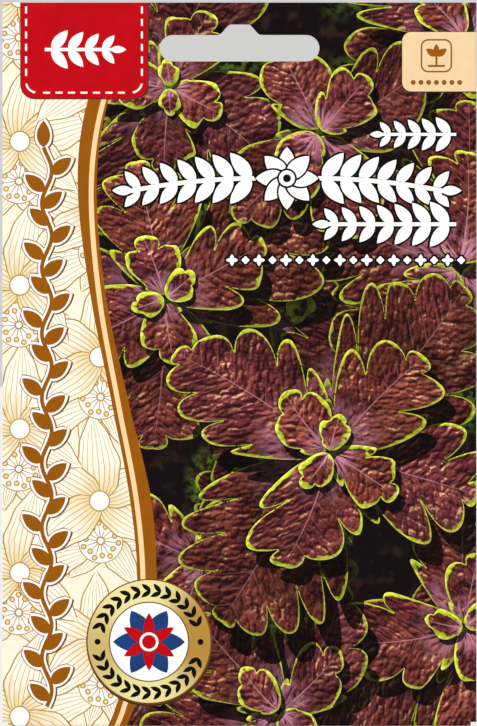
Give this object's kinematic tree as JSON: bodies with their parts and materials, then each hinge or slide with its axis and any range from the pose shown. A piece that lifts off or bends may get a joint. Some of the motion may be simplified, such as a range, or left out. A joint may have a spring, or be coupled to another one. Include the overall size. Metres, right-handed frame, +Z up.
{
  "type": "seed packet",
  "caption": "Flat paper seed packet with a euro hang slot in its header, a folded bottom flap, a side flap and a filled inner sachet.",
  "frame": {"origin": "middle of the euro slot's top edge, where the peg bears, halfway between the two plies", "axes": "+Z up towards the header, +Y towards the packet's back, +X to the packet's right seen from the front"},
  "size_m": [0.095, 0.0038, 0.145],
  "materials": {
    "paper": "coated and printed, semi-gloss",
    "glue": "dried glue",
    "film": "heat-sealed film",
    "seed": null
  },
  "bodies": {
    "root": {"envelope": "paper", "side_glue": "glue", "bottom_glue": "glue", "header_glue": "glue", "inner_sachet": "film", "seed_01": "seed", "seed_02": "seed", "seed_03": "seed", "seed_04": "seed", "seed_05": "seed", "seed_06": "seed", "seed_07": "seed", "seed_08": "seed", "seed_09": "seed", "seed_10": "seed"}
  },
  "joints": []
}
